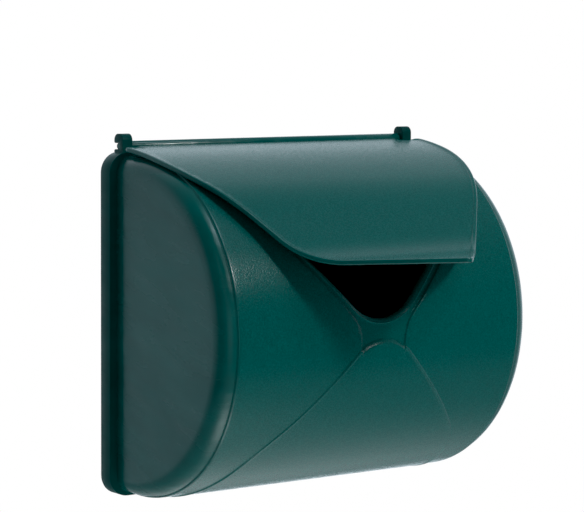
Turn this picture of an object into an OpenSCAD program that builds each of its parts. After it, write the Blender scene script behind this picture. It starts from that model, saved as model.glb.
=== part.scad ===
// Wall mounted mailbox: a moulded half-barrel box with an envelope front and a hinged flap.
// The wall plane is y = 0, the box stands out along -Y, +X is right and +Z is up.
// The origin is the middle of the back plate's rear face. Millimetres.

/* [Back plate] */
// Width of the back plate
plate_w = 330; // [320:1:340]
// Height of the back plate
plate_h = 285; // [280:1:290]
// Depth of the back plate, from the wall to its front face
plate_t = 14; // [13:0.5:15]
// Corner radius of the back plate
plate_corner_r = 17; // [14:1:19]
// Thickness of the back plate's front skin
skin_t = 3; // [2.5:0.5:4]
// Width of the back plate's rim, seen from behind
rim_w = 4; // [3:0.5:6]
// Thickness of the stiffening ribs behind the skin
rib_t = 2.5; // [2:0.5:4]

/* [Wall fixing] */
// Hole to hole distance across the wall
wall_hole_span_x = 220; // [200:5:240]
// Hole to hole distance up the wall
wall_hole_span_z = 180; // [160:5:200]
// Diameter of the four wall screw holes
wall_hole_d = 5.5; // [4.5:0.5:6.5]

/* [Front shell] */
// How far the plate's sides stand proud of the shell
side_ledge = 6.8; // [5:0.2:8]
// How far the plate's top and bottom stand proud of the shell
top_ledge = 1.2; // [1:0.1:2]
// Distance from the wall to the foremost line of the barrel
shell_depth = 168.7; // [165:0.1:172]
// Wall thickness of the shell
wall_t = 3; // [2.5:0.5:3.5]
// Radius of the rounded edge between the side panels and the barrel
edge_r = 14.5; // [12:0.5:16]
// Height of the textured front panel above the rounded edge
panel_step = 1; // [0.6:0.1:1.4]

/* [Mouth] */
// Height of the lowest point of the mouth's rolled edge
mouth_bottom_z = 8; // [4:1:12]
// Height of the top edge of the mouth, under the lid
mouth_top_z = 126; // [122:1:128]
// Slope of the mouth's sides, from the horizontal
mouth_angle = 47; // [45:1:49]
// Radius of the rounded bottom of the mouth
mouth_bottom_r = 42; // [36:1:46]
// Radius of the mouth's two top corners
mouth_corner_r = 20; // [16:1:24]
// Width of the rolled edge that turns in round the mouth
mouth_roll = 3.5; // [3:0.5:4]
// Width of the recessed band round the mouth
band_w = 5.5; // [4:0.5:8]
// Depth of the recessed band and of the neck below the mouth
band_depth = 1.8; // [1:0.2:2]
// Width of the neck between the mouth and the lower flap
neck_w = 46; // [42:1:50]
// Radius of the bends where the band's sides turn down into the neck
neck_bend_r = 34; // [20:1:40]

/* [Lower envelope flap] */
// Height of the flap's rounded top
flap_top_z = -5.5; // [-8:0.5:-4]
// Radius of the flap's rounded top
flap_top_r = 40; // [36:1:44]
// Slope of the flap's two edges, from the horizontal
flap_angle = 46; // [45:1:48]
// Height of the flap above the front panel
flap_rise = 1; // [0.6:0.1:1.4]

/* [Hinge] */
// Distance from the wall to the hinge axis
axis_out = 5.5; // [5.3:0.1:6]
// Height of the hinge axis above the top of the plate
axis_up = 4.7; // [4.6:0.1:5]
// Radius of the lid's two hinge pins
pin_r = 2.8; // [2.6:0.1:3]
// Radial clearance of a pin in its hook
pin_clearance = 0.1; // [0.05:0.01:0.1]
// Radius of the rolled bead along the lid's rear edge
bead_r = 4.2; // [4:0.1:4.3]
// Width of each hook, along the axis
hook_w = 9.4; // [9:0.2:10.4]
// Depth of each hook, out from the wall
hook_d = 13; // [12.5:0.1:13]
// Height of each hook above the plate
hook_h = 15; // [14.5:0.5:16]
// Distance from the middle to the outer face of a hook
hook_outer_x = 151.8; // [150:0.2:153]

/* [Lid] */
// Thickness of the lid's sheet
lid_t = 2.4; // [2:0.1:2.6]
// Width of the thickened rim
lid_rim_w = 4; // [3:0.5:5]
// Height of the rim above and below the sheet
lid_rim_rise = 0.8; // [0.4:0.1:0.9]
// Half width of the lid at its rear corners
lid_half_w = 155; // [153:0.5:157]
// Distance from the wall to the lid's rear corners
lid_rear_out = 20.5; // [18:0.5:22]
// Radius of the lid's rear corners
lid_corner_r = 3.5; // [2:0.5:4]
// Distance from the wall to the lid's point
lid_reach = 274.5; // [268:0.5:280]
// Taper of the lid's rear sides, in degrees
lid_taper = 2.8; // [2:0.1:3.5]
// Angle of the lid's front sides from the straight ahead direction
lid_point_angle = 41.6; // [40:0.1:43]
// Radius of the bend in the lid's sides
lid_bend_r = 149.5; // [140:0.5:155]
// Radius of the lid's point
lid_point_r = 5; // [5:0.5:8]

/* [Screws] */
// Diameter of a screw's head
head_d = 8; // [7:0.2:8.4]
// Height of a screw's head
head_h = 2.6; // [2:0.1:3]
// Diameter of a screw's core
core_d = 3.4; // [3:0.1:3.6]
// Diameter over a screw's thread
thread_d = 4; // [3.8:0.1:4.2]
// Length of a screw below its head
screw_l = 22; // [20:1:24]

/* [Hidden] */
$fn = 96;
bottle_green = "#0d5a50";
cut = 1;

// Shell
barrel_r = plate_h / 2 - top_ledge;
barrel_out = shell_depth - barrel_r;
edge_barrel_r = barrel_r - panel_step;
shell_w = plate_w - 2 * side_ledge;
panel_half_w = shell_w / 2 - edge_r + 0.7;
cavity_r = edge_barrel_r - wall_t;
cavity_w = shell_w - 2 * wall_t;
cavity_corner_r = edge_r - wall_t;
lip_depth = 6;

// Ledge on the plate that locates the shell
spigot_gap = 0.3;
spigot_w = 2;
spigot_h = 4;

// Shell screws, three along the top and three along the bottom
boss_r = 4.5;
boss_l = 18;
boss_x = shell_w / 2 - 23.2;
boss_z = barrel_r - 11.3;
boss_web_t = 3;
screw_hole_d = thread_d + 0.6;
counterbore_d = head_d + 1.2;
counterbore_depth = 4.6;
screw_boss_r = 7;
screw_places = [for (x = [-1, 0, 1], z = [-1, 1]) [x * boss_x, z * boss_z]];

// Wall screws
wall_boss_r = 9;
wall_places = [for (x = [-1, 1], z = [-1, 1]) [x * wall_hole_span_x / 2, z * wall_hole_span_z / 2]];

// Hinge
axis_z = plate_h / 2 + axis_up;
hook_inner_x = hook_outer_x - hook_w;
hook_corner_r = 5.5;
hook_seat_r = pin_r + pin_clearance;
hook_gap = 2 * pin_r - 0.5;
hook_lead_in = 1.4;
bead_half_l = hook_inner_x - 0.6;
pin_end_x = hook_outer_x - 0.5;

// Lid profile: the top of the sheet, as slope angles and radii from the hinge forwards
lid_start_z = axis_z + 0.35;
lid_back_slope = 2;
lid_back_r = 270;
lid_middle_slope = 25.3;
lid_front_r = 118.5;
lid_steep_slope = 46.1;
lid_steep_l = 25;
lid_lip_r = 48.7;
lid_lip_slope = -3.5;
lid_lip_out = lid_reach + 10;
arc_steps = 12;

// Unit vector along a slope that falls by angle a, and the normal above it
function along(a) = [cos(a), -sin(a)];
function above(a) = [sin(a), cos(a)];

// Points of an arc that starts at p with slope a, ends with slope b and has radius r,
// moved d towards the normal. The arc bulges upwards where b is greater than a.
function bend(p, a, b, r, d) = [
    for (i = [0:arc_steps])
        let (s = a + (b - a) * i / arc_steps, side = b > a ? 1 : -1)
        p + side * r * (above(s) - above(a)) + d * above(s)
];
function bend_end(p, a, b, r) = p + (b > a ? 1 : -1) * r * (above(b) - above(a));

lid_p0 = [axis_out, lid_start_z];
lid_p1 = bend_end(lid_p0, lid_back_slope, lid_middle_slope, lid_back_r);
lid_p2 = bend_end(lid_p1, lid_middle_slope, lid_steep_slope, lid_front_r);
lid_p3 = lid_p2 + lid_steep_l * along(lid_steep_slope);
lid_p4 = bend_end(lid_p3, lid_steep_slope, lid_lip_slope, lid_lip_r);
lid_p5 = lid_p4 + (lid_lip_out - lid_p4[0]) / cos(lid_lip_slope) * along(lid_lip_slope);

// The lid's side view, as distance from the wall and height, moved d outwards
function lid_profile(d) = concat(
    bend(lid_p0, lid_back_slope, lid_middle_slope, lid_back_r, d),
    bend(lid_p1, lid_middle_slope, lid_steep_slope, lid_front_r, d),
    bend(lid_p3, lid_steep_slope, lid_lip_slope, lid_lip_r, d),
    [lid_p5 + d * above(lid_lip_slope)]
);

// Centre of the bend in the lid's right side: it touches the rear side and the front side
lid_point_out = lid_reach - lid_point_r;
lid_rear_h = lid_half_w * cos(lid_taper) + lid_rear_out * sin(lid_taper) - lid_bend_r;
lid_front_h = lid_point_out * sin(lid_point_angle) + lid_point_r - lid_bend_r;
lid_det = sin(lid_point_angle - lid_taper);
lid_bend_x = (lid_rear_h * sin(lid_point_angle) - lid_front_h * sin(lid_taper)) / lid_det;
lid_bend_out = (lid_front_h * cos(lid_taper) - lid_rear_h * cos(lid_point_angle)) / lid_det;

// Points of a round corner, from angle a to angle b
function corner(x, y, r, a, b) = [
    for (i = [0:arc_steps])
        let (t = a + (b - a) * i / arc_steps)
        [x + r * cos(t), y + r * sin(t)]
];

// The lid seen from above, as x and distance from the wall, drawn in by d
function lid_outline(d, rear) =
    let (r = max(lid_corner_r - d, 0.5), x = lid_half_w - d - r)
    concat(
    corner(x, rear + r, r, -90, lid_taper),
    corner(lid_bend_x, lid_bend_out, lid_bend_r - d, lid_taper, lid_point_angle),
    corner(0, lid_point_out, lid_point_r - d, lid_point_angle, 180 - lid_point_angle),
    corner(-lid_bend_x, lid_bend_out, lid_bend_r - d, 180 - lid_point_angle, 180 - lid_taper),
    corner(-x, rear + r, r, 180 - lid_taper, 270)
);

// The mouth seen from the front, grown by d: a rounded bottom and two rounded top corners
mouth_low_z = mouth_bottom_z + mouth_bottom_r;
mouth_high_z = mouth_top_z - mouth_corner_r;
mouth_normal = mouth_angle - 90;
mouth_high_x = (mouth_bottom_r - mouth_corner_r - (mouth_high_z - mouth_low_z) * sin(mouth_normal))
    / cos(mouth_normal);
function mouth_outline(d) = concat(
    corner(0, mouth_low_z, mouth_bottom_r + d, -180 - mouth_normal, mouth_normal),
    corner(mouth_high_x, mouth_high_z, mouth_corner_r + d, mouth_normal, 90),
    corner(-mouth_high_x, mouth_high_z, mouth_corner_r + d, 90, 180 - mouth_normal)
);

// The lower flap seen from the front: a rounded top and two edges that steepen at the foot
flap_bend_r = 120;
flap_foot_slope = 62;
flap_edge_l = 92;
flap_p1 = [0, flap_top_z] + flap_top_r * (above(flap_angle) - above(0));
flap_p2 = flap_p1 + flap_edge_l * along(flap_angle);
flap_right = concat(
    bend([0, flap_top_z], 0, flap_angle, flap_top_r, 0),
    bend(flap_p2, flap_angle, flap_foot_slope, flap_bend_r, 0)
);
flap_foot_x = flap_right[len(flap_right) - 1][0];
flap_points = concat(
    flap_right,
    [[flap_foot_x, -plate_h], [-flap_foot_x, -plate_h]],
    [for (i = [len(flap_right) - 1:-1:1]) [-flap_right[i][0], flap_right[i][1]]]
);

// A rectangle with round corners, centred on the origin
module rounded_rectangle(w, h, r) {
    square([w - 2 * r, h], center = true);
    square([w, h - 2 * r], center = true);
    for (x = [-1, 1], y = [-1, 1]) {
        translate([x * (w / 2 - r), y * (h / 2 - r)]) circle(r);
    }
}

// Extrudes a front view outwards, from one distance to another from the wall
module outwards(from, to) {
    translate([0, -from, 0]) rotate([90, 0, 0]) linear_extrude(height = to - from) children();
}

// Turns a section, drawn as radius and x, half a turn about the barrel's axis
module barrel() {
    translate([0, -barrel_out, 0]) rotate([0, 90, 0]) rotate([0, 0, 180])
        rotate_extrude(angle = 180) children();
}

// The right half of a section, for turning
module half_section() {
    intersection() {
        children();
        translate([0, -plate_w]) square([plate_h, 2 * plate_w]);
    }
}

// A layer of the barrel between two radii
module barrel_layer(low, high) {
    barrel() translate([low, -panel_half_w]) square([high - low, 2 * panel_half_w]);
}

// Section of the shell's outside: rounded ends and a slightly raised front panel
module outer_section() {
    rounded_rectangle(2 * edge_barrel_r, shell_w, edge_r);
    square([2 * barrel_r, 2 * panel_half_w], center = true);
}

module cavity_section() {
    rounded_rectangle(2 * cavity_r, cavity_w, cavity_corner_r);
}

module shell_body() {
    difference() {
        union() {
            barrel() half_section() outer_section();
            outwards(plate_t, barrel_out) rotate(90) outer_section();
        }
        barrel() half_section() cavity_section();
        outwards(plate_t - cut, barrel_out) rotate(90) cavity_section();
    }
}

// The neck joins the recessed band to the top of the lower flap. Its sides bend down out of the band's sides.
neck_turn = 90 - mouth_angle;
neck_start_x = neck_w / 2 + neck_bend_r * (1 - cos(neck_turn));
band_side = [0, mouth_low_z] + (mouth_bottom_r + band_w) * [cos(mouth_normal), sin(mouth_normal)];
neck_start_z = band_side[1] + (neck_start_x - band_side[0]) * tan(mouth_angle);
neck_centre = [neck_w / 2 + neck_bend_r, neck_start_z - neck_bend_r * sin(neck_turn)];
neck_right = concat(
    [[neck_w / 2, flap_p1[1]]],
    corner(neck_centre[0], neck_centre[1], neck_bend_r, 180, 180 - neck_turn),
    [band_side, [0, mouth_low_z]]
);
module neck_outline() {
    for (side = [-1, 1]) polygon([for (p = concat([[0, flap_p1[1]]], neck_right)) [side * p[0], p[1]]]);
}

module flap_layer() {
    intersection() {
        barrel_layer(barrel_r - band_depth - cut, barrel_r + flap_rise);
        outwards(plate_t, shell_depth + 2 * cut) polygon(flap_points);
    }
    // The flap runs on to the plate below the barrel
    translate([-flap_foot_x, -barrel_out, -barrel_r - flap_rise])
        cube([2 * flap_foot_x, barrel_out - plate_t, flap_rise + cut]);
}

module screw_boss(place) {
    side = sign(place[1]);
    translate([place[0], -plate_t, place[1]]) rotate([90, 0, 0]) cylinder(h = boss_l, r = boss_r);
    // Web from the boss to the shell's wall, clear of the plate's locating ledge
    web_z = side > 0 ? place[1] : -cavity_r - cut;
    translate([place[0] - boss_web_t / 2, -plate_t - boss_l, web_z])
        cube([boss_web_t, boss_l - spigot_h - cut, cavity_r + cut - boss_z]);
}

module back_plate() color(bottle_green) {
    difference() {
        union() {
            outwards(0, plate_t) rounded_rectangle(plate_w, plate_h, plate_corner_r);
            // Ledge that the shell fits over
            difference() {
                outwards(plate_t - cut, plate_t + spigot_h) rounded_rectangle(
                    cavity_w - 2 * spigot_gap, 2 * (cavity_r - spigot_gap), cavity_corner_r - spigot_gap);
                outwards(plate_t - 2 * cut, plate_t + spigot_h + cut) rounded_rectangle(
                    cavity_w - 2 * (spigot_gap + spigot_w), 2 * (cavity_r - spigot_gap - spigot_w),
                    cavity_corner_r - spigot_gap - spigot_w);
            }
        }
        // Pockets behind the skin, between the rim, the ribs and the screw bosses
        outwards(-cut, plate_t - skin_t) difference() {
            rounded_rectangle(plate_w - 2 * rim_w, plate_h - 2 * rim_w, plate_corner_r - rim_w);
            for (x = [-1, 1]) {
                translate([x * wall_hole_span_x / 2, 0]) square([rib_t, plate_h], center = true);
            }
            square([plate_w, rib_t], center = true);
            for (place = wall_places) translate(place) circle(wall_boss_r);
            for (place = screw_places) translate(place) circle(screw_boss_r);
        }
        for (place = wall_places) {
            translate([place[0], cut, place[1]]) rotate([90, 0, 0])
                cylinder(h = plate_t + 2 * cut, d = wall_hole_d);
        }
        for (place = screw_places) {
            translate([place[0], cut, place[1]]) rotate([90, 0, 0]) {
                cylinder(h = plate_t + 2 * cut, d = screw_hole_d);
                cylinder(h = counterbore_depth + cut, d = counterbore_d);
            }
        }
    }
    for (side = [-1, 1]) hook(side);
}

// One hook: a post with a round seat that is open towards the wall
module hook(side) {
    post_h = hook_h + cut;
    x = side > 0 ? hook_inner_x : -hook_outer_x;
    translate([x, 0, plate_h / 2 - cut]) rotate([90, 0, 90]) linear_extrude(height = hook_w)
        difference() {
            union() {
                translate([-hook_d, 0]) square([hook_d, post_h - hook_corner_r]);
                translate([hook_corner_r - hook_d, 0])
                    square([hook_d - 2 * hook_corner_r, post_h]);
                for (y = [hook_corner_r - hook_d, -hook_corner_r]) {
                    translate([y, post_h - hook_corner_r]) circle(hook_corner_r);
                }
            }
            translate([-axis_out, axis_up + cut]) {
                circle(hook_seat_r);
                translate([0, -hook_gap / 2]) square([hook_d, hook_gap]);
                // Lead-in that opens towards the wall
                polygon([
                    [axis_out - hook_lead_in, hook_gap / 2 - 0.1],
                    [axis_out + cut, hook_gap / 2 + hook_lead_in],
                    [axis_out + cut, -hook_gap / 2 - hook_lead_in],
                    [axis_out - hook_lead_in, 0.1 - hook_gap / 2]
                ]);
            }
        }
}

module front_shell() color(bottle_green) {
    difference() {
        union() {
            difference() {
                shell_body();
                // Recessed band round the mouth, and the neck below it
                intersection() {
                    barrel_layer(barrel_r - band_depth, barrel_r + 10 * cut);
                    outwards(plate_t, shell_depth + cut) union() {
                        polygon(mouth_outline(band_w));
                        neck_outline();
                    }
                }
            }
            flap_layer();
            // Edge of the mouth, turned inwards
            intersection() {
                barrel_layer(edge_barrel_r - lip_depth, barrel_r - band_depth - 0.2);
                outwards(barrel_out, shell_depth) polygon(mouth_outline(0));
            }
            for (place = screw_places) screw_boss(place);
        }
        outwards(barrel_out, shell_depth + 2 * cut) polygon(mouth_outline(-mouth_roll));
        for (place = screw_places) {
            translate([place[0], -plate_t + cut, place[1]]) rotate([90, 0, 0])
                cylinder(h = boss_l - 2 + cut, d = core_d);
        }
    }
}

// A slab of the lid's side view, thick enough from d_low to d_high, across the whole lid
module lid_slab(d_low, d_high) {
    top = lid_profile(d_high);
    bottom = lid_profile(d_low);
    side_view = concat(top, [for (i = [len(bottom) - 1:-1:0]) bottom[i]]);
    rotate([90, 0, 90]) linear_extrude(height = plate_w, center = true)
        polygon([for (p = side_view) [-p[0], p[1]]]);
}

// A prism of the lid's outline, taller than the lid
module lid_plan(d, rear) {
    linear_extrude(height = plate_h) polygon([for (p = lid_outline(d, rear)) [p[0], -p[1]]]);
}

module lid() color(bottle_green) {
    // Sheet
    intersection() {
        lid_slab(-lid_t, 0);
        union() {
            lid_plan(0, lid_rear_out);
            translate([-bead_half_l, -lid_rear_out - cut, 0])
                cube([2 * bead_half_l, lid_rear_out + cut - axis_out, plate_h]);
        }
    }
    // Rim
    intersection() {
        lid_slab(-lid_t - lid_rim_rise, lid_rim_rise);
        difference() {
            lid_plan(0, lid_rear_out);
            translate([0, 0, -cut]) scale(1.001) lid_plan(lid_rim_w, lid_rear_out - cut);
        }
    }
    // Bead and hinge pins
    translate([-bead_half_l, -axis_out, axis_z]) rotate([0, 90, 0])
        cylinder(h = 2 * bead_half_l, r = bead_r);
    translate([-pin_end_x, -axis_out, axis_z]) rotate([0, 90, 0])
        cylinder(h = 2 * pin_end_x, r = pin_r);
}

// One self-tapping screw, pointing along -Y with its head's underside at y = 0
module screw() {
    tip_h = 3;
    thread_pitch = 1.8;
    recess_w = 1;
    recess_l = 4.4;
    recess_depth = 1.6;
    difference() {
        rotate([90, 0, 0]) union() {
            translate([0, 0, -head_h]) cylinder(h = head_h, d = head_d);
            cylinder(h = screw_l - tip_h, d = core_d);
            translate([0, 0, screw_l - tip_h]) cylinder(h = tip_h, d1 = core_d, d2 = core_d / 4);
            // Thread, as a row of rings
            rotate_extrude() for (i = [1:floor((screw_l - tip_h) / thread_pitch) - 1]) {
                translate([core_d / 2, i * thread_pitch]) polygon([
                    [-0.2, -0.5], [0, -0.5], [(thread_d - core_d) / 2, 0], [0, 0.5], [-0.2, 0.5]
                ]);
            }
        }
        for (turn = [0, 90]) {
            rotate([0, turn, 0]) translate([-recess_l / 2, head_h - recess_depth, -recess_w / 2])
                cube([recess_l, recess_depth + cut, recess_w]);
        }
    }
}

module shell_screws() color("silver") {
    for (place = screw_places) translate([place[0], -counterbore_depth, place[1]]) screw();
}

back_plate();
front_shell();
lid();
shell_screws();
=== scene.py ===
"""The looks of a wall mounted mailbox: a half barrel with an envelope front and a hinged, pointed lid.

Lengths are in millimetres, as in the design, and make_object() turns them into metres. x is to the right,
"out" is the distance from the wall (towards -Y) and z is up, all from the middle of the back plate's rear
face. The camera, the lights and the floor are placed in metres.
"""

import math

import bmesh
import bpy
import numpy as np
from mathutils import Matrix, Vector
from mathutils.geometry import delaunay_2d_cdt


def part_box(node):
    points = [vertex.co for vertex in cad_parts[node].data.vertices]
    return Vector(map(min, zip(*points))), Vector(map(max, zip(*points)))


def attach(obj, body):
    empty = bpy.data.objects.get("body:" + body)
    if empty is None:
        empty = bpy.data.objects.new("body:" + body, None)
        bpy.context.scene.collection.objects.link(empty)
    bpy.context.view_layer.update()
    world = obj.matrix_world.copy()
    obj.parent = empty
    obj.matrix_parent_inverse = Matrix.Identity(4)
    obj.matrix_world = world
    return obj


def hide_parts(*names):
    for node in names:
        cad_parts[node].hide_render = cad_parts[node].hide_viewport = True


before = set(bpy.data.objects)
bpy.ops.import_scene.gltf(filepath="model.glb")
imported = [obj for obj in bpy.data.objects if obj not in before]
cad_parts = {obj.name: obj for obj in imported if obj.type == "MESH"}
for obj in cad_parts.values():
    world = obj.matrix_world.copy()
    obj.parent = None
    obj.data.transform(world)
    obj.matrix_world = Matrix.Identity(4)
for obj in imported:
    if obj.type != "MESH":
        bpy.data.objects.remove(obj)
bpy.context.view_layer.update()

MM = 0.001
plate_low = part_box("back_plate")[0] / MM
shell_low, shell_high = (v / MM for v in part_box("front_shell"))
lid_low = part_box("lid")[0] / MM

# Barrel. The D-shaped section is half a circle with straight ends that run back to the plate
top_ledge = 1.2
flap_rise = 1.0
plate_t = -shell_high.y
plate_half_h = -plate_low.z
shell_half_w = shell_high.x
barrel_r = plate_half_h - top_ledge
barrel_out = -shell_low.y - flap_rise - barrel_r
quarter = barrel_r * math.pi / 2
section_end = quarter + barrel_out - plate_t

# Shell. The front panel reaches panel_overlap past the centres of the rounded edges, and stands panel_step
# above them. The step has a soft shoulder, a narrow ledge and a fillet, and the rounded edge starts
# fillet_gap past that
wall_t = 3.0
edge_r = 14.5
panel_step = 1.5
shoulder_w = 2.2
shoulder_h = 1.1
ledge_w = 0.5
foot_r = 0.4
fillet_gap = 0.6
panel_overlap = 0.7
edge_barrel_r = barrel_r - panel_step
cavity_r = edge_barrel_r - wall_t
edge_centre_x = shell_half_w - edge_r
panel_half_w = edge_centre_x + panel_overlap

# Mouth, with the centres of its bottom arc and of its right corner's arc
mouth_bottom_z = 8.0
mouth_top_z = 126.0
mouth_angle = math.radians(47)
mouth_bottom_r = 42.0
mouth_corner_r = 20.0
mouth_roll = 3.5
lip_l = 1.6
mouth_lean = math.pi / 2 - mouth_angle
mouth_low_z = mouth_bottom_z + mouth_bottom_r
mouth_high_z = mouth_top_z - mouth_corner_r
mouth_rise = (mouth_high_z - mouth_low_z) * math.sin(mouth_lean)
mouth_high_x = (mouth_bottom_r - mouth_corner_r + mouth_rise) / math.cos(mouth_lean)
# The lip's rounded end: how far back from the opening, and how far below the lip's straight part
LIP_END = ((0.0, 0.0), (0.3, 0.5), (0.9, 0.7), (1.6, 0.5), (2.0, 0.0), (2.6, -2.2))

# Recessed band round the mouth, and its neck down to the lower flap
band_w = 5.5
band_depth = 1.8
band_slope_w = 1.5
neck_half_w = 23.0
neck_bend_r = 34.0
neck_under_flap = 26.0

# Lower flap
flap_top_z = -5.5
flap_top_r = 40.0
flap_angle = math.radians(46)
flap_edge_l = 92.0
flap_bend_r = 120.0
flap_foot_angle = math.radians(62)
flap_slope_w = 1.4

# Fine raised lines along the mouth and the flap's edge
crest_h = 0.45
mouth_crest_out = 0.5
mouth_crest_w = 0.55
flap_crest_w = 0.99

# Rows of points that carry the relief, as distances from the outline that they follow
MOUTH_LINES = (0.35, 0.7, 1.1, 1.6)
BAND_LINES = (0.0, 0.27, 0.51, 0.75, 1.0, 1.23, 1.5)
FLAP_LINES = (0.0, 0.25, 0.5, 0.8, 1.1, 1.4, 1.9, 2.5, 3.2, 4.0)
circle_rows = 201
straight_rows = 7
panel_columns = 59
panel_point_gap = 1.0
flap_foot_clear = 1.5

# Screw bosses inside the shell, three along the top and three along the bottom
boss_r = 4.5
boss_l = 18.0
boss_chamfer = 0.5
boss_inset_x = 23.2
boss_inset_z = 11.3
web_half_t = 1.5
web_start = 5.0
web_overlap = 0.4

# Hinge. The ends of the bead and of the pins are rounded: distance from the end, and radius
axis_out = 5.5
axis_rise = 4.7
axis_z = plate_half_h + axis_rise
bead_r = 4.2
pin_r = 2.8
hook_outer_x = 151.8
hook_w = 9.4
bead_gap = 0.6
pin_inset = 0.5
bead_half_l = hook_outer_x - hook_w - bead_gap
pin_end_x = hook_outer_x - pin_inset
BEAD_END = ((0.0, bead_r - 0.6), (0.2, bead_r - 0.2), (0.7, bead_r))
PIN_END = ((0.0, pin_r - 0.5), (0.5, pin_r))

# Lid, seen from above
lid_t = 2.4
lid_edge_r = 1.4
lid_half_w = 155.0
lid_rear_out = 20.5
lid_corner_r = 3.5
lid_reach = -lid_low.y
lid_taper = math.radians(2.8)
lid_point_angle = math.radians(41.6)
lid_bend_r = 149.5
lid_point_r = 5.0
notch_r = 1.5

# Lid, seen from the side: three bends, with a straight length before the last and another after it
lid_start_rise = 0.35
lid_start_z = axis_z + lid_start_rise
lid_start_slope = math.radians(2)
lid_rear_r = 270.0
lid_middle_slope = math.radians(25.3)
lid_middle_r = 118.5
lid_steep_slope = math.radians(46.1)
lid_steep_l = 25.0
lid_front_r = 48.7
lid_lip_slope = math.radians(-3.5)
lid_spare_l = 6.0

# The lid's raised rim, and the dishes that keep the lid clear of the hooks
lid_rim_rise = 0.8
rim_w = 3.1
rim_slope_w = 1.3
RIM_LINES = (3.1, 3.45, 3.75, 4.05, 4.4)
dish_depth = 1.6
dish_r = 10.0
dish_floor_r = 5.5
dish_past_rear = 5.0
dish_out = lid_rear_out - dish_past_rear

# Distances between the points of an outline, first in its own plane and then on the unrolled surface
fine_step = 1.0
line_step = 1.3
lid_fine_step = 0.8
lid_line_step = 1.2
lid_path_step = 0.5

# Loose points between the lid's outlines: a wide grid, and a fine one over each dish
lid_grid_half_w = 153.0
lid_grid_x = 4.5
lid_grid_start = 2.0
lid_grid_t = 2.5
dish_grid = 1.0
lid_edge_clear = 1.6
lid_point_gap = 0.8

# Rounds on the back plate's edges
plate_round_r = 1.0
plate_round_steps = 3

# Edges that bend more than this are shaded as sharp
moulding_sharp = math.radians(32)
plate_sharp = math.radians(40)

# Camera
camera_place = (-1.2347, -1.7179, 0.2504)
camera_heading = math.radians(-36.37)
camera_tilt = math.radians(90 - 5.45)
camera_roll = math.radians(0.35)
lens_mm = 151.8
sensor_mm = 36.0

# Area lights: name, azimuth and elevation in degrees, distance, width and height, and power in watts
AREAS = (
    ("key", 15, 34, 1.3, (0.13, 0.13), 3.5),
    ("left_fill", -34, 34, 1.6, (0.5, 0.7), 0.2),
)
# Soft cards round the object: azimuth, elevation, spread in degrees and strength
CARDS = (
    (180, 50, 18, 0.9),
    (160, -10, 40, 0.65),
    (160, -12, 18, 3.1),
    (98, 4, 20, 0.9),
    (34, 62, 7, 5.0),
    (-120, 10, 18, 0.55),
    (-18, 0, 16, 0.42),
)
card_colour = (0.9, 1.0, 1.1, 1)
# Pools of light on the floor: x, y, radius and strength
POOLS = (
    (-0.3, -0.6, 0.5, 0.9),
    (0.0, -0.6, 0.5, 2.3),
    (0.3, 0.3, 0.9, 0.6),
)
floor_r = 1.6
floor_z = -0.75
floor_glow = 0.6

# Places of the two plastics in the shell's and the lid's lists of materials
TEXTURED = 0
PLAIN = 1


# ---------------------------------------------------------------- outlines

def smooth(t):
    """Rises gently from 0 to 1 as t goes from 0 to 1."""
    t = np.clip(t, 0.0, 1.0)
    return t * t * (3.0 - 2.0 * t)


def arc(x, y, r, start, end, steps=24):
    """Points of an arc about (x, y), from one angle to another."""
    t = np.linspace(start, end, steps + 1)
    return np.stack([x + r * np.cos(t), y + r * np.sin(t)], 1)


def along(a):
    """Unit vector of a line that falls by angle a."""
    return np.array([math.cos(a), -math.sin(a)])


def above(a):
    """Upward normal of that line."""
    return np.array([math.sin(a), math.cos(a)])


def bend(p, a, b, r, steps=24):
    """Arc from p with slope a to slope b. It bulges upwards where b is greater than a."""
    side = 1.0 if b > a else -1.0
    return np.array([p + side * r * (above(s) - above(a)) for s in np.linspace(a, b, steps + 1)])


def resample(points, step, closed=False):
    """The same outline with evenly spaced points."""
    p = np.asarray(points, float)
    if closed:
        p = np.vstack([p, p[:1]])
    length = np.concatenate([[0.0], np.cumsum(np.linalg.norm(np.diff(p, axis=0), axis=1))])
    keep = np.concatenate([[True], np.diff(length) > 1e-9])
    p, length = p[keep], length[keep]
    count = max(2, round(length[-1] / step))
    t = np.linspace(0.0, length[-1], count + 1)
    q = np.stack([np.interp(t, length, p[:, i]) for i in (0, 1)], 1)
    return q[:-1] if closed else q


def normals(points, closed=False):
    """Left-hand unit normals along an outline."""
    if closed:
        d = np.roll(points, -1, 0) - np.roll(points, 1, 0)
    else:
        d = np.gradient(points, axis=0)
    d /= np.linalg.norm(d, axis=1)[:, None]
    return np.stack([-d[:, 1], d[:, 0]], 1)


def distance(q, line, closed=False):
    """Distance of each point of q to an outline, above 0 on its left."""
    a = np.asarray(line, float)
    b = np.roll(a, -1, 0) if closed else a[1:]
    a = a if closed else a[:-1]
    ab = b - a
    best = np.full(len(q), np.inf)
    sign = np.ones(len(q))
    for p0, e in zip(a, ab):
        rel = q - p0
        t = np.clip(rel @ e / (e @ e), 0.0, 1.0)
        gap = rel - t[:, None] * e
        d = np.hypot(gap[:, 0], gap[:, 1])
        side = np.where(e[0] * rel[:, 1] - e[1] * rel[:, 0] >= 0, 1.0, -1.0)
        nearer = d < best - 1e-12
        best = np.where(nearer, d, best)
        sign = np.where(nearer, side, sign)
    return best * sign


# ---------------------------------------------------------------- meshes

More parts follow.
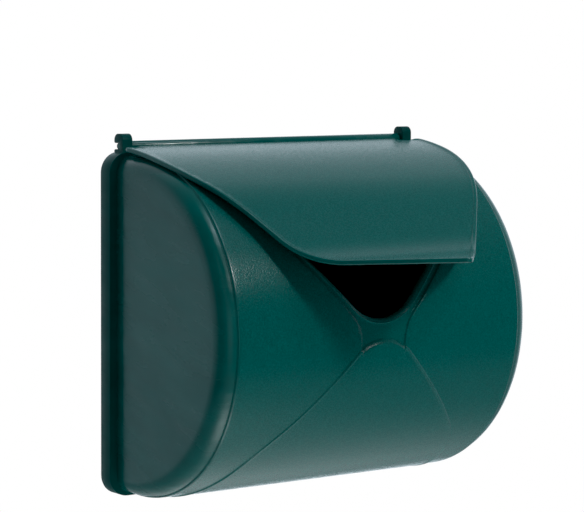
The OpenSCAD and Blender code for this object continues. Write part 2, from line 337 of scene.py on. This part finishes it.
class Build:
    """Collects the points and faces of one object, in millimetres."""

    def __init__(self):
        self.points = []
        self.faces = []
        self.finishes = []

    def add_points(self, points):
        first = len(self.points)
        self.points.extend(map(tuple, np.asarray(points, float)))
        return np.arange(first, len(self.points))

    def add_faces(self, faces, finish=TEXTURED):
        for f in faces:
            self.faces.append(tuple(int(i) for i in f))
            self.finishes.append(finish)

    def strip(self, one, two, closed=False, finish=TEXTURED):
        """Joins two equal rows of points with quads."""
        n = len(one)
        last = n if closed else n - 1
        quads = [(one[i], one[(i + 1) % n], two[(i + 1) % n], two[i]) for i in range(last)]
        self.add_faces(quads, finish)

    def rows(self, rows, closed=False, finish=TEXTURED):
        for one, two in zip(rows[:-1], rows[1:]):
            self.strip(one, two, closed, finish)

    def turned(self, profile, axis_point, direction, up, sides=48, finish=TEXTURED):
        """A solid of revolution. The profile lists (distance along the axis, radius) from end to end.
        up is a unit vector square to the axis."""
        d, u = np.array(direction, float), np.array(up, float)
        v = np.cross(d, u)
        turns = np.linspace(0, 2 * math.pi, sides, endpoint=False)
        rings = []
        for t, r in profile:
            centre = np.array(axis_point) + t * d
            ring = [centre + r * (math.cos(a) * u + math.sin(a) * v) for a in turns]
            rings.append(self.add_points(ring))
        self.rows(rings, closed=True, finish=finish)
        self.add_faces([tuple(rings[0]), tuple(rings[-1])], finish)


def make_object(name, build, materials, body, replaced):
    """Turns what was built, in millimetres, into an object in metres."""
    mesh = bpy.data.meshes.new(name)
    mesh.from_pydata([tuple(c * MM for c in p) for p in build.points], [], build.faces)
    mesh.polygons.foreach_set("material_index", build.finishes)
    work = bmesh.new()
    work.from_mesh(mesh)
    bmesh.ops.remove_doubles(work, verts=work.verts, dist=0.02 * MM)
    bmesh.ops.dissolve_degenerate(work, edges=work.edges, dist=0.01 * MM)
    bmesh.ops.recalc_face_normals(work, faces=work.faces)
    work.to_mesh(mesh)
    work.free()
    finish_object(name, mesh, materials, body, replaced, moulding_sharp)


def finish_object(name, mesh, materials, body, replaced, sharp_angle):
    """Shades the mesh, parents the new object to its body and hides the CAD nodes that it replaces."""
    mesh.shade_smooth()
    mesh.set_sharp_from_angle(angle=sharp_angle)
    for m in materials:
        mesh.materials.append(m)
    obj = bpy.data.objects.new(name, mesh)
    bpy.context.scene.collection.objects.link(obj)
    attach(obj, body)
    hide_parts(*replaced)


def triangulate(points, lines):
    """Triangles over a flat set of points that keep every line as an edge.
    Lines are (first, last, closed). The third result gives each point's new number."""
    edges = []
    for first, last, closed in lines:
        edges += [(i, i + 1) for i in range(first, last)]
        if closed:
            edges.append((last, first))
    verts = [Vector((float(p[0]), float(p[1]))) for p in points]
    out, _, faces, came_from, _, _ = delaunay_2d_cdt(verts, edges, [], 0, 1e-5, True)
    flat = np.array([(v.x, v.y) for v in out])
    new_index = {}
    for i, olds in enumerate(came_from):
        for old in olds:
            new_index[old] = i
    return flat, np.array([f for f in faces if len(f) == 3]), new_index


class Flat:
    """Points and lines of a flat layout that is triangulated and then wrapped into shape."""

    def __init__(self):
        self.points = np.zeros((0, 2))
        self.lines = []

    def line(self, points, closed=False):
        """Adds a line of points, and gives their numbers."""
        first = len(self.points)
        self.points = np.vstack([self.points, points])
        self.lines.append((first, len(self.points) - 1, closed))
        return np.arange(first, len(self.points))

    def fill(self, points, clear):
        """Loose points, at least clear away from every point that is there already."""
        taken = {}
        for p in self.points:
            taken.setdefault((int(p[0] // clear), int(p[1] // clear)), []).append(p)
        kept = []
        for p in points:
            i, j = int(p[0] // clear), int(p[1] // clear)
            cells = [(i + di, j + dj) for di in (-1, 0, 1) for dj in (-1, 0, 1)]
            near = [q for cell in cells for q in taken.get(cell, ())]
            if all((p[0] - q[0]) ** 2 + (p[1] - q[1]) ** 2 > clear * clear for q in near):
                kept.append(p)
        self.points = np.vstack([self.points, np.array(kept)])


# ---------------------------------------------------------------- shell

def unroll(points):
    """Front view (x, z) to the unrolled barrel (x, length round the section)."""
    p = np.asarray(points, float)
    z = np.clip(p[:, 1] / barrel_r, -1.0, 1.0)
    return np.stack([p[:, 0], barrel_r * np.arcsin(z)], 1)


def on_section(x, s, r):
    """Point of the D-shaped section of radius r, at length s of the outer section."""
    x, s, r = np.broadcast_arrays(*(np.asarray(v, float) for v in (x, s, r)))
    turn = np.clip(s / barrel_r, -math.pi / 2, math.pi / 2)
    straight = np.maximum(np.abs(s) - quarter, 0.0)
    out = barrel_out + r * np.cos(turn) - straight
    return np.stack([x, -out, r * np.sin(turn)], -1)


def mouth_outline():
    """The right half of the mouth, from bottom to top."""
    return np.vstack([
        arc(0, mouth_low_z, mouth_bottom_r, -math.pi / 2, -mouth_lean),
        arc(mouth_high_x, mouth_high_z, mouth_corner_r, -mouth_lean, math.pi / 2),
    ])


def band_outline():
    """The right half of the recess: a neck that runs up from under the flap, and the mouth's outline
    grown by the band."""
    # The neck's side bends up into the band's straight side
    start_x = neck_half_w + neck_bend_r * (1 - math.cos(mouth_lean))
    grown_r = mouth_bottom_r + band_w
    touch = np.array([grown_r * math.cos(mouth_lean), mouth_low_z - grown_r * math.sin(mouth_lean)])
    start_z = touch[1] + (start_x - touch[0]) * math.tan(mouth_angle)
    centre_z = start_z - neck_bend_r * math.sin(mouth_lean)
    return np.vstack([
        [[neck_half_w, flap_top_z - neck_under_flap]],
        arc(neck_half_w + neck_bend_r, centre_z, neck_bend_r, math.pi, math.pi - mouth_lean),
        arc(mouth_high_x, mouth_high_z, mouth_corner_r + band_w, -mouth_lean, math.pi / 2),
    ])


def mirrored(right):
    """A closed outline, anticlockwise, from its right half listed from bottom to top."""
    left = right[::-1] * np.array([-1.0, 1.0])
    both = np.vstack([right, left])
    same = np.linalg.norm(np.roll(both, -1, 0) - both, axis=1) < 1e-9
    return both[~same]


def flap_outline():
    """The lower flap's edge, from its left foot over the top to its right foot."""
    top = bend(np.array([0.0, flap_top_z]), 0.0, flap_angle, flap_top_r)
    straight_end = top[-1] + flap_edge_l * along(flap_angle)
    foot = bend(straight_end, flap_angle, flap_foot_angle, flap_bend_r, 40)
    # Straight on to the bottom of the half circle, and back along the section's straight end
    run = (foot[-1][1] + barrel_r) / math.sin(flap_foot_angle)
    last = foot[-1] + run * along(flap_foot_angle)
    right = unroll(resample(np.vstack([top, foot, last]), fine_step))
    right = np.vstack([right, [right[-1][0], -section_end]])
    left = right[::-1] * np.array([-1.0, 1.0])
    return np.vstack([left[:-1], right])


def unrolled_loop(right):
    """The closed outline on the unrolled barrel, from its right half in the front view."""
    return resample(unroll(resample(mirrored(right), fine_step, True)), line_step, True)


mouth_line = unrolled_loop(mouth_outline())
band_line = unrolled_loop(band_outline())
flap_line = resample(flap_outline(), line_step)


def ridge(away, width):
    """A crest's height at a distance from its middle."""
    return crest_h * np.exp(-(away / width) ** 2)


def panel_height(q):
    """Height of the front panel's relief above the barrel."""
    outside_mouth = -distance(q, mouth_line, closed=True)
    in_band = distance(q, band_line, closed=True)
    in_flap = -distance(q, flap_line)
    low = -band_depth * smooth(in_band / band_slope_w)
    # The flap's edge falls in a quarter ellipse, which is wider where it falls further
    slope_w = flap_slope_w * (flap_rise - low) / flap_rise
    raised = np.sin(np.clip(in_flap / slope_w, 0.0, 1.0) * math.pi / 2)
    crests = ridge(outside_mouth - mouth_crest_out, mouth_crest_w) + ridge(in_flap - slope_w, flap_crest_w)
    return low + (flap_rise - crest_h - low) * raised + crests


def section_lengths():
    """Lengths round the section at which the shell has rows of points."""
    half_circle = np.linspace(-quarter, quarter, circle_rows)
    straight = np.linspace(quarter, section_end, straight_rows)[1:]
    return np.concatenate([-straight[::-1], half_circle, straight])


def panel_layout(lengths):
    """The front panel laid out flat, with the numbers of the points round its mouth."""
    flat = Flat()
    edge_x = panel_half_w - shoulder_w
    for x in (edge_x, -edge_x):
        flat.line(np.stack([np.full(len(lengths), x), lengths], 1))
    inner = np.linspace(-edge_x, edge_x, panel_columns)[1:-1]
    feet = [flap_line[0][0], flap_line[-1][0]]
    for s in (-section_end, section_end):
        row = [x for x in inner if s > 0 or min(abs(x - f) for f in feet) > flap_foot_clear]
        flat.line(np.stack([row, np.full(len(row), s)], 1))
    mouth = flat.line(mouth_line, closed=True)
    mouth_out = -normals(mouth_line, closed=True)
    for d in MOUTH_LINES:
        flat.line(mouth_line + d * mouth_out, closed=True)
    band_in = normals(band_line, closed=True)
    for d in BAND_LINES:
        flat.line(band_line + d * band_in, closed=True)
    flap_in = -normals(flap_line)
    for d in FLAP_LINES:
        shifted = flap_line + d * flap_in
        shifted[:, 1] = np.maximum(shifted[:, 1], -section_end)
        flat.line(shifted)
    xs, ss = np.meshgrid(inner, lengths[1:-1])
    flat.fill(np.stack([xs.ravel(), ss.ravel()], 1), panel_point_gap)
    return flat, mouth


def edge_profile():
    """From the front panel's edge over the rounded edge to the middle of the side panel.
    Each entry is x and radius outside, and x and radius inside."""
    rows = []
    for a in np.linspace(0, math.pi / 2, 7):
        x = panel_half_w - shoulder_w * (1 - math.sin(a))
        rows.append((x, barrel_r - shoulder_h * (1 - math.cos(a)), x, cavity_r))
    for a in np.linspace(math.pi / 2, 0, 5):
        x = panel_half_w + ledge_w + foot_r * (1 - math.sin(a))
        rows.append((x, edge_barrel_r + foot_r * (1 - math.cos(a)), x, cavity_r))
    start = math.asin((rows[-1][0] + fillet_gap - edge_centre_x) / edge_r)
    inner_r = edge_r - wall_t
    for a in np.linspace(start, math.pi / 2, 15):
        fall = 1 - math.cos(a)
        side = math.sin(a)
        rows.append((edge_centre_x + edge_r * side, edge_barrel_r - edge_r * fall,
                     edge_centre_x + inner_r * side, cavity_r - inner_r * fall))
    for r in np.linspace(edge_barrel_r - edge_r, 0.0, 26)[1:]:
        rows.append((shell_half_w, r, shell_half_w - wall_t, r))
    return rows


def lip_rings():
    """The mouth's rolled edge and lip, as (distance into the opening, depth below the barrel)."""
    rolled = np.linspace(0.0, math.pi / 2, 9)[1:]
    rings = [(mouth_roll * math.sin(a), band_depth + mouth_roll * (1 - math.cos(a))) for a in rolled]
    deep = band_depth + mouth_roll + lip_l
    return rings + [(mouth_roll - back, deep + down) for back, down in LIP_END]


def add_boss(build, x, z):
    """A screw boss and the web that joins it to the shell's wall."""
    profile = [(0.0, boss_r), (boss_l - boss_chamfer, boss_r), (boss_l, boss_r - boss_chamfer)]
    build.turned(profile, (x, -plate_t, z), (0, -1, 0), (0, 0, 1), sides=40, finish=PLAIN)
    wall_z = math.copysign(cavity_r + web_overlap, z)
    web = build.add_points([(x + dx, -plate_t - out, h) for h in (z, wall_z) for out in (web_start, boss_l)
                            for dx in (-web_half_t, web_half_t)])
    quads = ((0, 1, 3, 2), (4, 5, 7, 6), (0, 1, 5, 4), (2, 3, 7, 6), (0, 2, 6, 4), (1, 3, 7, 5))
    build.add_faces([[web[i] for i in quad] for quad in quads], PLAIN)


def make_shell(textured, plain):
    build = Build()
    lengths = section_lengths()
    layout, mouth_ids = panel_layout(lengths)
    flat, triangles, new_index = triangulate(layout.points, layout.lines)
    middle = flat[triangles].mean(1)
    triangles = triangles[distance(middle, mouth_line, closed=True) < 0]
    height = panel_height(flat)
    outer = build.add_points(on_section(flat[:, 0], flat[:, 1], barrel_r + height))
    inner = build.add_points(on_section(flat[:, 0], flat[:, 1], cavity_r))
    build.add_faces(outer[triangles], TEXTURED)
    build.add_faces(inner[triangles][:, ::-1], PLAIN)
    # Top and bottom edges, against the plate
    for s in (-section_end, section_end):
        row = np.where(np.abs(flat[:, 1] - s) < 1e-6)[0]
        row = row[np.argsort(flat[row, 0])]
        build.strip(outer[row], inner[row], finish=PLAIN)
    # Rolled edge of the mouth
    mouth = np.array([new_index[i] for i in mouth_ids])
    inward = normals(mouth_line, closed=True)
    rings = [outer[mouth]]
    for d, depth in lip_rings():
        q = mouth_line + d * inward
        rings.append(build.add_points(on_section(q[:, 0], q[:, 1], barrel_r - depth)))
    rings.append(inner[mouth])
    build.rows(rings, closed=True, finish=TEXTURED)
    # Rounded edges and side panels
    for side in (-1, 1):
        outer_rows, inner_rows = [], []
        for x_out, r_out, x_in, r_in in edge_profile():
            outer_rows.append(build.add_points(on_section(side * x_out, lengths, r_out)))
            inner_rows.append(build.add_points(on_section(side * x_in, lengths, r_in)))
        build.rows(outer_rows, finish=PLAIN)
        build.rows(inner_rows, finish=PLAIN)
        for end in (0, -1):
            build.strip([r[end] for r in outer_rows], [r[end] for r in inner_rows], finish=PLAIN)
    boss_x = shell_half_w - boss_inset_x
    boss_z = barrel_r - boss_inset_z
    for x in (-boss_x, 0, boss_x):
        for z in (-boss_z, boss_z):
            add_boss(build, x, z)
    make_object("front_shell_moulding", build, [textured, plain], "box",
                ["front_shell"])


# ---------------------------------------------------------------- lid

def lid_path():
    """The top of the lid's sheet seen from the side, as distance from the wall and height."""
    rear = bend(np.array([axis_out, lid_start_z]), lid_start_slope, lid_middle_slope, lid_rear_r, 60)
    middle = bend(rear[-1], lid_middle_slope, lid_steep_slope, lid_middle_r, 40)
    steep_end = middle[-1] + lid_steep_l * along(lid_steep_slope)
    front = bend(steep_end, lid_steep_slope, lid_lip_slope, lid_front_r, 50)
    # The path runs on past the lid's point, so that the outline lies on it everywhere
    path_end = front[-1] + (lid_reach + lid_spare_l - front[-1][0]) * along(lid_lip_slope)
    return resample(np.vstack([rear, middle[1:], front, path_end]), lid_path_step)


lid_line = lid_path()
lid_length = np.concatenate([[0.0], np.cumsum(np.linalg.norm(np.diff(lid_line, axis=0), axis=1))])
lid_normal = normals(lid_line)
dish_t = np.interp(dish_out, lid_line[:, 0], lid_length)


def on_lid(x, t, h):
    """Point at length t along the lid's path and h above its top face."""
    x, t, h = np.broadcast_arrays(*(np.asarray(v, float) for v in (x, t, h)))
    out = np.interp(t, lid_length, lid_line[:, 0]) + h * np.interp(t, lid_length, lid_normal[:, 0])
    z = np.interp(t, lid_length, lid_line[:, 1]) + h * np.interp(t, lid_length, lid_normal[:, 1])
    return np.stack([x, -out, z], -1)


def lid_sides():
    """The lid's two sides and its point seen from above, from the right rear corner round to the left."""
    point_out = lid_reach - lid_point_r
    rear_h = lid_half_w * math.cos(lid_taper) + lid_rear_out * math.sin(lid_taper) - lid_bend_r
    front_h = point_out * math.sin(lid_point_angle) + lid_point_r - lid_bend_r
    det = math.sin(lid_point_angle - lid_taper)
    x = (rear_h * math.sin(lid_point_angle) - front_h * math.sin(lid_taper)) / det
    out = (front_h * math.cos(lid_taper) - rear_h * math.cos(lid_point_angle)) / det
    right = np.vstack([
        [[bead_half_l + notch_r, lid_rear_out]],
        arc(lid_half_w - lid_corner_r, lid_rear_out + lid_corner_r, lid_corner_r, -math.pi / 2, lid_taper, 8),
        arc(x, out, lid_bend_r, lid_taper, lid_point_angle, 60),
        arc(0, point_out, lid_point_r, lid_point_angle, math.pi / 2, 8),
    ])
    left = right[::-1] * np.array([-1.0, 1.0])
    return np.vstack([right, left[1:]])


def unroll_lid(points):
    """Top view (x, distance from the wall) to the unrolled lid (x, length along its path)."""
    p = np.asarray(points, float)
    return np.stack([p[:, 0], np.interp(p[:, 1], lid_line[:, 0], lid_length)], 1)


def lid_outline():
    """The whole outline, anticlockwise: the sides, and the tongue between the hooks."""
    notch = arc(bead_half_l + notch_r, lid_rear_out - notch_r, notch_r, math.pi, math.pi / 2, 6)
    tongue = np.vstack([[[bead_half_l, axis_out]], notch])
    left = tongue[::-1] * np.array([-1.0, 1.0])
    return np.vstack([tongue, lid_sides(), left])


def lid_edge():
    """The outline on the unrolled lid, closed by the tongue's straight rear edge along the bead."""
    outline = resample(unroll_lid(resample(lid_outline(), lid_fine_step)), lid_line_step)
    rear_x = np.linspace(-bead_half_l, bead_half_l, 60)[1:-1]
    return np.vstack([outline, np.stack([rear_x, np.zeros(len(rear_x))], 1)])


def lid_rim(q, sides):
    """1 on the raised rim along the lid's sides, and 0 inside it."""
    return 1.0 - smooth((np.abs(distance(q, sides)) - rim_w) / rim_slope_w)


def lid_dish(q):
    """Depth of the shallow dishes that keep the sheet clear of the hooks."""
    away = np.hypot(np.abs(q[:, 0]) - bead_half_l, q[:, 1] - dish_t)
    return dish_depth * (1.0 - smooth((away - dish_floor_r) / (dish_r - dish_floor_r)))


def lid_layout(sides, outline, top_edge):
    """The lid laid out flat, with the numbers of the points round the edge of its top."""
    flat = Flat()
    loop = flat.line(top_edge, closed=True)
    side_in = normals(sides)
    for d in RIM_LINES:
        inset = sides + d * side_in
        flat.line(inset[np.abs(distance(inset, sides)) > d - 0.05])
    grid_x = np.arange(-lid_grid_half_w, lid_grid_half_w + 0.1, lid_grid_x)
    xs, ts = np.meshgrid(grid_x, np.arange(lid_grid_start, lid_length[-1], lid_grid_t))
    grid = np.stack([xs.ravel(), ts.ravel()], 1)
    dish_steps = np.arange(-dish_r, dish_r + 0.1, dish_grid)
    xs, ts = np.meshgrid(dish_steps, dish_steps)
    for side in (-1, 1):
        over_dish = np.stack([side * (bead_half_l + xs).ravel(), (dish_t + ts).ravel()], 1)
        grid = np.vstack([over_dish, grid])
    grid = grid[distance(grid, outline, closed=True) > lid_edge_clear]
    flat.fill(grid, lid_point_gap)
    return flat, loop


def add_hinge_bar(build, end, half_l):
    """A round bar along the hinge's axis, with both ends shaped like the one given."""
    profile = [*end, *((2 * half_l - t, r) for t, r in end[::-1])]
    build.turned(profile, (-half_l, -axis_out, axis_z), (1, 0, 0), (0, 0, 1), finish=PLAIN)


def make_lid(textured, plain):
    build = Build()
    sides = resample(unroll_lid(resample(lid_sides(), fine_step)), line_step)
    outline = lid_edge()
    inward = normals(outline, closed=True)
    top_edge = outline + lid_edge_r * inward
    layout, loop = lid_layout(sides, outline, top_edge)
    points, triangles, new_index = triangulate(layout.points, layout.lines)
    middle = points[triangles].mean(1)
    triangles = triangles[distance(middle, top_edge, closed=True) > 0]
    rise = lid_rim_rise * lid_rim(points, sides)
    top = build.add_points(on_lid(points[:, 0], points[:, 1], rise - lid_dish(points)))
    bottom = build.add_points(on_lid(points[:, 0], points[:, 1], -lid_t - rise))
    build.add_faces(top[triangles], TEXTURED)
    build.add_faces(bottom[triangles][:, ::-1], PLAIN)

    def edge_ring(a, face_h, inwards):
        """A ring of the rounded edge, at angle a of the quarter turn from a face to the outline."""
        q = outline + lid_edge_r * (1 - math.sin(a)) * inward
        h = face_h + inwards * lid_edge_r * (1 - math.cos(a))
        return build.add_points(on_lid(q[:, 0], q[:, 1], h))

    loop = np.array([new_index[i] for i in loop])
    edge_rise = lid_rim_rise * lid_rim(top_edge, sides)
    turns = np.linspace(0.0, math.pi / 2, 6)
    rings = [top[loop]]
    rings += [edge_ring(a, edge_rise - lid_dish(top_edge), -1.0) for a in turns[1:]]
    rings += [edge_ring(a, -lid_t - edge_rise, 1.0) for a in turns[:0:-1]]
    rings.append(bottom[loop])
    build.rows(rings, closed=True, finish=PLAIN)
    add_hinge_bar(build, BEAD_END, bead_half_l)
    add_hinge_bar(build, PIN_END, pin_end_x)
    make_object("lid_moulding", build, [textured, plain], "lid",
                ["lid"])


# ---------------------------------------------------------------- back plate

def make_plate(plastic):
    """The CAD back plate with small rounds on its edges."""
    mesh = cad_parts["back_plate"].data.copy()
    work = bmesh.new()
    work.from_mesh(mesh)
    bmesh.ops.remove_doubles(work, verts=work.verts, dist=0.01 * MM)
    bmesh.ops.dissolve_limit(work, angle_limit=math.radians(0.5), verts=work.verts, edges=work.edges)
    work.to_mesh(mesh)
    work.free()
    rough = bpy.data.objects.new("plate_source", mesh)
    bpy.context.scene.collection.objects.link(rough)
    bevel = rough.modifiers.new("rounds", "BEVEL")
    bevel.width = plate_round_r * MM
    bevel.segments = plate_round_steps
    bevel.limit_method = "ANGLE"
    bevel.angle_limit = plate_sharp
    bevel.use_clamp_overlap = True
    bpy.context.view_layer.update()
    evaluated = rough.evaluated_get(bpy.context.evaluated_depsgraph_get())
    rounded = bpy.data.meshes.new_from_object(evaluated)
    bpy.data.objects.remove(rough)
    rounded.materials.clear()
    finish_object("back_plate_moulding", rounded, [plastic], "box",
                  ["back_plate"], plate_sharp)


# ---------------------------------------------------------------- materials

GREEN = (0.0005, 0.124, 0.109)
# Noise seldom goes below or above these values
noise_low = 0.3
noise_high = 0.7


class Nodes:
    """Short way to make a node material."""

    def __init__(self, name):
        self.material = bpy.data.materials.new(name)
        self.material.use_nodes = True
        self.tree = self.material.node_tree
        self.shader = self.tree.nodes["Principled BSDF"]
        self.place = self.add("ShaderNodeTexCoord").outputs["Object"]

    def add(self, kind, **values):
        """A new node. Each value sets the node's property of that name, or else its socket."""
        node = self.tree.nodes.new(kind)
        for key, value in values.items():
            if hasattr(node, key):
                setattr(node, key, value)
            else:
                node.inputs[key].default_value = value
        return node

    def link(self, source, node, socket):
        self.tree.links.new(source, node.inputs[socket])

    def noise(self, scale, detail, stretch=None, lean=0.0):
        """Noise, drawn out along x, y and z by stretch, and leaning over as seen from the side."""
        node = self.add("ShaderNodeTexNoise", Scale=scale, Detail=detail, Roughness=0.5)
        if stretch:
            mapping = self.add("ShaderNodeMapping", vector_type="TEXTURE", Scale=stretch,
                               Rotation=(math.radians(lean), 0.0, 0.0))
            self.link(self.place, mapping, "Vector")
            self.link(mapping.outputs["Vector"], node, "Vector")
        else:
            self.link(self.place, node, "Vector")
        return node.outputs["Fac"]

    def spread(self, value, low, high):
        """Noise mapped to the range from low to high."""
        node = self.add("ShaderNodeMapRange")
        node.inputs["From Min"].default_value = noise_low
        node.inputs["From Max"].default_value = noise_high
        node.inputs["To Min"].default_value = low
        node.inputs["To Max"].default_value = high
        self.link(value, node, "Value")
        return node.outputs["Result"]

    def tint(self, value, one, two):
        """Noise mapped to colours from one to two."""
        node = self.add("ShaderNodeValToRGB")
        node.color_ramp.elements[0].position = noise_low
        node.color_ramp.elements[1].position = noise_high
        node.color_ramp.elements[0].color = (*one, 1.0)
        node.color_ramp.elements[1].color = (*two, 1.0)
        self.link(value, node, "Fac")
        return node.outputs["Color"]

    def bump(self, height, depth, under=None):
        """A bumpy normal, on top of the one that is under it."""
        node = self.add("ShaderNodeBump", Distance=depth)
        self.link(height, node, "Height")
        if under:
            self.link(under, node, "Normal")
        return node.outputs["Normal"]


def green(value):
    """The plastic's colour, lighter or darker."""
    return tuple(c * value for c in GREEN)


def textured_plastic():
    """Satin plastic with a fine grain, on a barely swollen surface."""
    n = Nodes("textured_green_plastic")
    n.link(n.tint(n.noise(750.0, 1.0), green(0.88), green(1.32)), n.shader, "Base Color")
    n.link(n.spread(n.noise(900.0, 1.0), 0.2, 0.34), n.shader, "Roughness")
    swell = n.bump(n.noise(14.0, 1.0), 0.25 * MM)
    grain = n.bump(n.noise(800.0, 1.0), 0.17 * MM, under=swell)
    n.link(grain, n.shader, "Normal")
    n.shader.inputs["Specular IOR Level"].default_value = 0.38
    return n.material


def smooth_plastic(name, roughness, gloss, value=1.0):
    """Smooth plastic with long, faint flow marks that run from back to front at a slight slope."""
    n = Nodes(name)
    lean = 12
    colour_marks = n.noise(30.0, 4.0, stretch=(1.0, 2.0, 0.6), lean=lean)
    gloss_marks = n.noise(40.0, 4.0, stretch=(1.0, 2.0, 0.6), lean=lean)
    flow_marks = n.noise(30.0, 2.5, stretch=(1.0, 2.4, 0.7), lean=lean)
    n.link(n.tint(colour_marks, green(0.87 * value), green(1.13 * value)), n.shader, "Base Color")
    n.link(n.spread(gloss_marks, roughness - 0.08, roughness + 0.08), n.shader, "Roughness")
    flow = n.bump(flow_marks, 1.0 * MM)
    fine = n.bump(n.noise(700.0, 1.0), 0.01 * MM, under=flow)
    n.link(fine, n.shader, "Normal")
    n.shader.inputs["Specular IOR Level"].default_value = gloss
    return n.material


def zinc():
    """Bright zinc plating."""
    n = Nodes("zinc_plated_steel")
    n.link(n.tint(n.noise(400.0, 3.0), (0.55, 0.56, 0.58), (0.66, 0.67, 0.68)), n.shader, "Base Color")
    n.link(n.spread(n.noise(900.0, 3.0), 0.25, 0.40), n.shader, "Roughness")
    n.link(n.bump(n.noise(1500.0, 2.0), 0.01 * MM), n.shader, "Normal")
    n.shader.inputs["Metallic"].default_value = 1.0
    return n.material


# ---------------------------------------------------------------- studio

def make_camera():
    data = bpy.data.cameras.new("camera")
    camera = bpy.data.objects.new("camera", data)
    bpy.context.scene.collection.objects.link(camera)
    data.sensor_width = sensor_mm
    data.lens = lens_mm
    data.clip_start = 0.05
    data.clip_end = 200.0
    turn = Matrix.Rotation(camera_heading, 4, "Z")
    tilt = Matrix.Rotation(camera_tilt, 4, "X")
    roll = Matrix.Rotation(camera_roll, 4, "Z")
    camera.matrix_world = Matrix.Translation(camera_place) @ turn @ tilt @ roll
    bpy.context.scene.camera = camera


def towards(azimuth, elevation):
    """Unit vector from the object. Azimuth 0 is straight out from the wall, and 90 is to the right."""
    a = math.radians(azimuth)
    e = math.radians(elevation)
    return Vector((math.sin(a) * math.cos(e), -math.cos(a) * math.cos(e), math.sin(e)))


def add_area(name, place, size, power):
    """A rectangular light that faces the middle of the back plate."""
    data = bpy.data.lights.new(name, "AREA")
    data.shape = "RECTANGLE"
    data.size, data.size_y = size
    data.energy = power
    light = bpy.data.objects.new(name, data)
    bpy.context.scene.collection.objects.link(light)
    light.location = place
    light.rotation_mode = "QUATERNION"
    light.rotation_quaternion = place.to_track_quat("Z", "Y")


def make_world():
    """White to the camera. To the object it is dark, with soft bright cards."""
    world = bpy.data.worlds.new("studio")
    bpy.context.scene.world = world
    world.use_nodes = True
    tree = world.node_tree
    tree.nodes.clear()

    def math_node(kind, *values):
        node = tree.nodes.new("ShaderNodeMath")
        node.operation = kind
        for socket, value in zip(node.inputs, values):
            if isinstance(value, (int, float)):
                socket.default_value = value
            else:
                tree.links.new(value, socket)
        return node.outputs[0]

    direction = tree.nodes.new("ShaderNodeTexCoord").outputs["Generated"]
    total = 0.0
    for azimuth, elevation, spread, strength in CARDS:
        dot = tree.nodes.new("ShaderNodeVectorMath")
        dot.operation = "DOT_PRODUCT"
        tree.links.new(direction, dot.inputs[0])
        dot.inputs[1].default_value = towards(azimuth, elevation)
        away = math_node("SUBTRACT", dot.outputs["Value"], 1.0)
        falloff = math_node("MULTIPLY", away, 1.0 / math.radians(spread) ** 2)
        card = math_node("MULTIPLY", math_node("EXPONENT", falloff), strength)
        total = math_node("ADD", card, total)
    seen = tree.nodes.new("ShaderNodeBackground")
    lit = tree.nodes.new("ShaderNodeBackground")
    tree.links.new(total, lit.inputs["Strength"])
    mix = tree.nodes.new("ShaderNodeMixShader")
    path = tree.nodes.new("ShaderNodeLightPath")
    output = tree.nodes.new("ShaderNodeOutputWorld")
    tree.links.new(path.outputs["Is Camera Ray"], mix.inputs["Fac"])
    tree.links.new(lit.outputs["Background"], mix.inputs[1])
    tree.links.new(seen.outputs["Background"], mix.inputs[2])
    tree.links.new(mix.outputs["Shader"], output.inputs["Surface"])
    seen.inputs["Color"].default_value = (1, 1, 1, 1)
    lit.inputs["Color"].default_value = card_colour


def make_floor():
    """A round floor that looks pale to the camera, and lights the object where its pools of light are."""
    mesh = bpy.data.meshes.new("floor")
    turns = np.linspace(0, 2 * math.pi, 96, endpoint=False)
    ring = [(floor_r * math.cos(a), floor_r * math.sin(a), floor_z) for a in turns]
    mesh.from_pydata(ring, [], [tuple(range(len(ring)))])
    floor = bpy.data.objects.new("floor", mesh)
    bpy.context.scene.collection.objects.link(floor)
    n = Nodes("pale_floor")
    n.link(n.tint(n.noise(1.5, 2.0), (0.49, 0.49, 0.49), (0.51, 0.51, 0.51)), n.shader, "Base Color")
    n.shader.inputs["Roughness"].default_value = 0.9
    n.shader.inputs["Emission Color"].default_value = (1, 1, 1, 1)
    seen = n.add("ShaderNodeMath", operation="MULTIPLY")
    n.link(n.add("ShaderNodeLightPath").outputs["Is Camera Ray"], seen, 0)
    seen.inputs[1].default_value = floor_glow
    total = seen.outputs[0]
    for x, y, radius, strength in POOLS:
        away = n.add("ShaderNodeVectorMath", operation="DISTANCE")
        n.link(n.place, away, 0)
        away.inputs[1].default_value = (x, y, floor_z)
        pool = n.add("ShaderNodeMapRange", interpolation_type="SMOOTHSTEP")
        for name, value in (("From Max", radius), ("To Min", strength), ("To Max", 0.0)):
            pool.inputs[name].default_value = value
        n.link(away.outputs["Value"], pool, "Value")
        both = n.add("ShaderNodeMath", operation="ADD")
        n.link(total, both, 0)
        n.link(pool.outputs["Result"], both, 1)
        total = both.outputs[0]
    n.link(total, n.shader, "Emission Strength")
    # Clear from below, so that the floor doesn't hide the object there
    mix = n.add("ShaderNodeMixShader")
    n.link(n.add("ShaderNodeNewGeometry").outputs["Backfacing"], mix, "Fac")
    n.link(n.shader.outputs["BSDF"], mix, 1)
    n.link(n.add("ShaderNodeBsdfTransparent").outputs["BSDF"], mix, 2)
    n.link(mix.outputs["Shader"], n.tree.nodes["Material Output"], "Surface")
    mesh.materials.append(n.material)


scene = bpy.context.scene
scene.view_settings.view_transform = "Standard"
scene.view_settings.use_curve_mapping = True
scene.view_settings.curve_mapping.black_level = (0.005, 0.002, 0.002)
make_camera()
make_world()
make_floor()
for name, azimuth, elevation, away, size, power in AREAS:
    add_area(name, towards(azimuth, elevation) * away, size, power)

textured = textured_plastic()
plain = smooth_plastic("smooth_green_plastic", roughness=0.25, gloss=0.46)
make_shell(textured, plain)
make_lid(textured, plain)
make_plate(smooth_plastic("plate_green_plastic", roughness=0.45, gloss=0.12, value=0.6))
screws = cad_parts["shell_screws"]
screws.data.materials.clear()
screws.data.materials.append(zinc())
